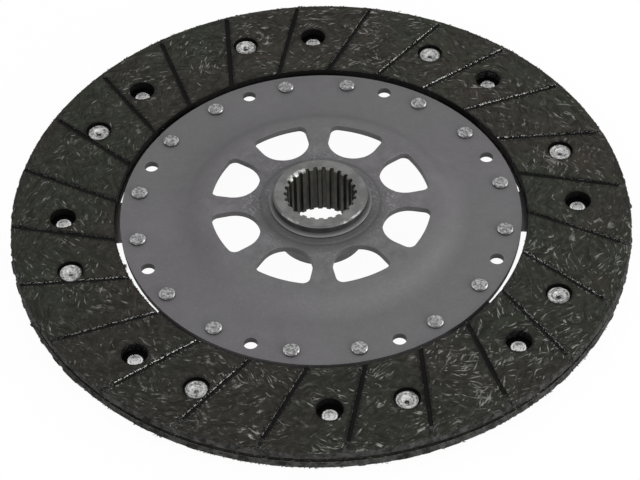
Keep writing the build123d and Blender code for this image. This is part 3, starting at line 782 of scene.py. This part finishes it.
def make_flecks(name, face, up, seed, material):
    """Bundles of yarn at the friction face: fields of short curved strokes, and some single ones."""
    rng = random.Random(seed)
    vertices = []
    faces = []
    for field in range(FLECK_FIELDS + FLECK_SINGLES):
        crowded = field < FLECK_FIELDS
        radius = sqrt(rng.uniform((RING_IN + 1.25) ** 2, (RING_OUT - 1.5) ** 2))
        heading = rng.uniform(0, 2 * pi)
        if crowded and rng.random() < 0.62:
            heading = radians(rng.choice([rng.gauss(*crowd) for crowd in FLECK_CROWDS]))
        x0 = radius * cos(heading)
        y0 = radius * sin(heading)
        side = rng.choice((-1, 1))
        strokes = rng.randint(9, 26) if crowded else 1
        long = rng.uniform(2.0, 6.0)
        wide = rng.uniform(2.4, 5.6)
        common = rng.gauss(0, 0.22)
        for stroke in range(strokes):
            way = yarn_way(x0, y0, side)
            shift = rng.gauss(0, wide)
            slide = rng.gauss(0, long)
            x = x0 - way[1] * shift + way[0] * slide
            y = y0 + way[0] * shift + way[1] * slide
            steps = rng.choice((3, 4, 5, 6, 7))
            pace = rng.uniform(0.45, 0.85)
            lean = common + rng.gauss(0, 0.12)
            bend = rng.gauss(0, 0.07)
            points = []
            for step in range(steps):
                if not on_lining(x, y, 0.3):
                    break
                points.append((x, y, face))
                wx, wy = yarn_way(x, y, side)
                lean += bend
                x += pace * (wx * cos(lean) - wy * sin(lean))
                y += pace * (wx * sin(lean) + wy * cos(lean))
            if len(points) > 2:
                strand(points, rng.uniform(0.35, 0.8), rng.uniform(0.02, 0.06), up, vertices, faces)
    return add_mesh(name, vertices, faces, material)


def whisker(points, thickness, vertices, faces):
    """A thin three-sided fibre along a path, pointed at its end."""
    base = len(vertices)
    count = len(points)
    for index, point in enumerate(points):
        before = Vector(points[max(index - 1, 0)])
        after = Vector(points[min(index + 1, count - 1)])
        along = (after - before).normalized()
        first = along.orthogonal().normalized()
        second = along.cross(first)
        half = thickness / 2 * (1 - 0.7 * index / (count - 1))
        for corner in range(3):
            angle = 2 * pi * corner / 3
            place = Vector(point) + first * (half * cos(angle))
            vertices.append(tuple(place + second * (half * sin(angle))))
    for index in range(count - 1):
        for corner in range(3):
            a = base + index * 3 + corner
            b = base + index * 3 + (corner + 1) % 3
            faces.append((a, b, b + 3, a + 3))
    faces.append((base + 2, base + 1, base))
    last = base + (count - 1) * 3
    faces.append((last, last + 1, last + 2))


def make_frayed_edge(name, seed, material):
    """Short cut fibre ends along the outer and inner rims of both friction rings."""
    rng = random.Random(seed)
    vertices = []
    faces = []
    for face, up in FACES:
        for radius, out, count in ((RING_OUT, 1, FRAY_OUTER), (RING_IN, -1, FRAY_INNER)):
            tufts = [(rng.uniform(0, 2 * pi), rng.uniform(0.4, 1.5)) for tuft in range(FRAY_TUFTS)]
            for index in range(count):
                heading = rng.uniform(0, 2 * pi)
                longer = 0.8
                if index % 2 == 0:
                    middle, longer = rng.choice(tufts)
                    heading = middle + radians(rng.gauss(0, 0.45))
                if out < 0 and index % 3:
                    heading = radians(rng.gauss(FRAYED_HEADING, 7))
                depth = abs(rng.gauss(0.2, 0.9))
                if depth > RING_THICK - EDGE_CHAMFER:
                    continue
                start = radius - out * (0.08 if depth > EDGE_CHAMFER else EDGE_CHAMFER - depth + 0.05)
                lean = rng.uniform(-1, 1)
                length = rng.uniform(0.5, 1.7)
                reach = rng.uniform(0.1, 0.85) * (0.6 + 0.4 * abs(sin(heading))) * longer
                drop = rng.uniform(-0.3, 0.12)
                points = []
                for step in range(4):
                    t = step / 3
                    r = start + out * reach * sin(t * pi / 2)
                    a = heading + lean * length * t / radius
                    z = face - up * depth + up * drop * t * t
                    points.append((r * cos(a), r * sin(a), z))
                whisker(points, rng.choice((0.14, 0.2, 0.3, 0.45)), vertices, faces)
    return add_mesh(name, vertices, faces, material)


def make_rim_felt(name, seed, material):
    """Lumpy felt of cut yarn round the outer wall of both friction rings.

    The points of its borders are doubled, so the hidden back wall doesn't change the front's shading."""
    rng = random.Random(seed)
    vertices = []
    faces = []
    for low, high in ((REAR_FACE + 0.3, REAR_FACE + RING_THICK - 0.05),
                      (FRONT_FACE - RING_THICK + 0.05, FRONT_FACE - 0.3)):
        base = len(vertices)
        slow = [rng.uniform(0.0, 0.4) for knot in range(FELT_KNOTS)]
        tufts = [0.2] * (FELT_ROWS + 1)
        for step in range(FELT_STEPS):
            heading = 2 * pi * step / FELT_STEPS
            place = step * len(slow) / FELT_STEPS
            index = int(place)
            share = place - index
            lump = slow[index] * (1 - share) + slow[(index + 1) % len(slow)] * share
            lump *= 0.5 + abs(sin(heading))
            for row in range(FELT_ROWS + 1):
                t = row / FELT_ROWS
                if rng.random() < 0.4:
                    tufts[row] = rng.uniform(0.0, 0.95) * rng.uniform(0.1, 1.0)
                reach = lump + tufts[row] + rng.uniform(0.0, 0.12)
                radius = RING_OUT - 0.05 + reach * sin(pi * min(max(t, 0.12), 0.88))
                if row in (0, FELT_ROWS):
                    radius = RING_OUT - 0.1
                vertices.append((radius * cos(heading), radius * sin(heading), low + (high - low) * t))
            vertices.extend((vertices[-FELT_ROWS - 1], vertices[-1]))
        for step in range(FELT_STEPS):
            a = base + step * FELT_STRIDE
            b = base + (step + 1) % FELT_STEPS * FELT_STRIDE
            for row in range(FELT_ROWS):
                faces.append((a + row, b + row, b + row + 1, a + row + 1))
            faces.append((a + FELT_ROWS + 1, a + FELT_ROWS + 2, b + FELT_ROWS + 2, b + FELT_ROWS + 1))
    return add_mesh(name, vertices, faces, material)


def stray_tuft(rng, vertices, faces):
    """One tuft that bridges the gap between the front ring and the plate."""
    for end in range(STRAY_FIBRES):
        heading = radians(rng.gauss(STRAY_HEADING, 0.35))
        points = []
        for step in range(4):
            radius = RING_IN + 0.4 - step * rng.uniform(0.35, 0.6)
            z = FRONT_FACE - rng.uniform(0.1, 0.9)
            turn = heading + radians(rng.uniform(-0.3, 0.3))
            points.append((radius * cos(turn), radius * sin(turn), z))
        whisker(points, rng.uniform(0.2, 0.45), vertices, faces)


def make_groove_ends(name, seed, material):
    """Torn fibre that clogs the outer ends of the front ring's grooves, and one stray tuft.

    The grooves between the clean headings stay open."""
    rng = random.Random(seed)
    vertices = []
    faces = []
    for index in range(GROOVES):
        degrees = groove_heading(index)
        if CLEAN_HEADINGS[0] < degrees < CLEAN_HEADINGS[1]:
            continue
        c = cos(radians(degrees))
        s = sin(radians(degrees))
        for end in range(GROOVE_END_FIBRES):
            run = GROOVE_STOP + GROOVE_SHIFT - rng.uniform(0.0, 5.0)
            lean = rng.uniform(-1.2, 1.2)
            half = rng.uniform(0.6, 1.2)
            lift = rng.uniform(-0.35, 0.0)
            points = []
            for step in range(4):
                t = step / 3
                x, y = off_groove(c, s, run + lean * (t - 0.5), GROOVE_OFFSET + half * (2 * t - 1))
                z = FRONT_FACE - 0.05 + lift * sin(pi * t)
                pull = min(1.0, (RING_OUT - EDGE_CHAMFER) / hypot(x, y))
                points.append((x * pull, y * pull, z))
            whisker(points, rng.choice((0.25, 0.35, 0.5)), vertices, faces)
    stray_tuft(rng, vertices, faces)
    return add_mesh(name, vertices, faces, material)


def make_groove_fray(name, seed, material):
    """Cut yarn ends along both edges of every groove."""
    rng = random.Random(seed)
    vertices = []
    faces = []
    for face, up in FACES:
        for index in range(GROOVES):
            c = cos(radians(groove_heading(index)))
            s = sin(radians(groove_heading(index)))
            for end in range(rng.randint(4, 18)):
                run = rng.uniform(GROOVE_START + 1, GROOVE_STOP - 1.5)
                edge = rng.choice((-1, 1))
                into = rng.uniform(0.15, 0.55)
                lean = rng.uniform(-0.8, 0.8)
                points = []
                for step in range(4):
                    t = step / 3
                    off = GROOVE_OFFSET + edge * (GROOVE_HALF + 0.1 - into * t)
                    z = face - up * (rng.uniform(0.02, 0.1) + 0.35 * t * t)
                    points.append((*off_groove(c, s, run + lean * t, off), z))
                whisker(points, rng.uniform(0.12, 0.2), vertices, faces)
    return add_mesh(name, vertices, faces, material)


place_camera()
place_lamp("key", 314, 18, 0.95, (0.5, 0.3), 4.2)
place_lamp("right", 5, 22, 0.95, (0.5, 0.3), 1.3)
place_lamp("left", 236, 42, 0.95, (0.3, 0.25), 1.1)
make_world(0.82)

floor_corners = [(x * FLOOR_HALF, y * FLOOR_HALF, -FLOOR_DROP)
                 for x, y in ((-1, -1), (1, -1), (1, 1), (-1, 1))]
floor_mesh = bpy.data.meshes.new("floor")
floor_mesh.from_pydata(floor_corners, [], [(0, 1, 2, 3)])
floor = bpy.data.objects.new("floor", floor_mesh)
bpy.context.scene.collection.objects.link(floor)
floor_mesh.materials.append(floor_paper())

# The first key that is in a node's name gives its material
finishes = {
    "hub": hub_steel(), "carrier_plate": plate_steel(), "cushion_segment": spring_steel(),
    "plate_rivets": plate_rivet_steel(), "facing_rivets": bright_rivet_metal(),
    "facing": friction_lining()}
for name, node in nodes.items():
    node.data.materials.clear()
    node.data.materials.append(next(finish for key, finish in finishes.items() if key in name))

light_fibre = fibre_material("light_fibre", 56, 126, (1, 1, 0.93))
rim_fibre = fibre_material("rim_fibre", 26, 68, (1, 0.99, 0.94), 0.08)
dull_fibre = fibre_material("dull_fibre", 34, 84, (1, 0.99, 0.94), 0.12)
make_flecks("front_fibre_flecks", FRONT_FACE, 1, 11, light_fibre)
make_flecks("rear_fibre_flecks", REAR_FACE, -1, 12, light_fibre)
make_frayed_edge("frayed_rims", 13, dull_fibre)
make_groove_ends("groove_ends", 15, dull_fibre)
make_rim_felt("rim_felt", 16, rim_fibre)
make_groove_fray("groove_fray", 14, light_fibre)

bpy.context.scene.view_settings.view_transform = "Standard"
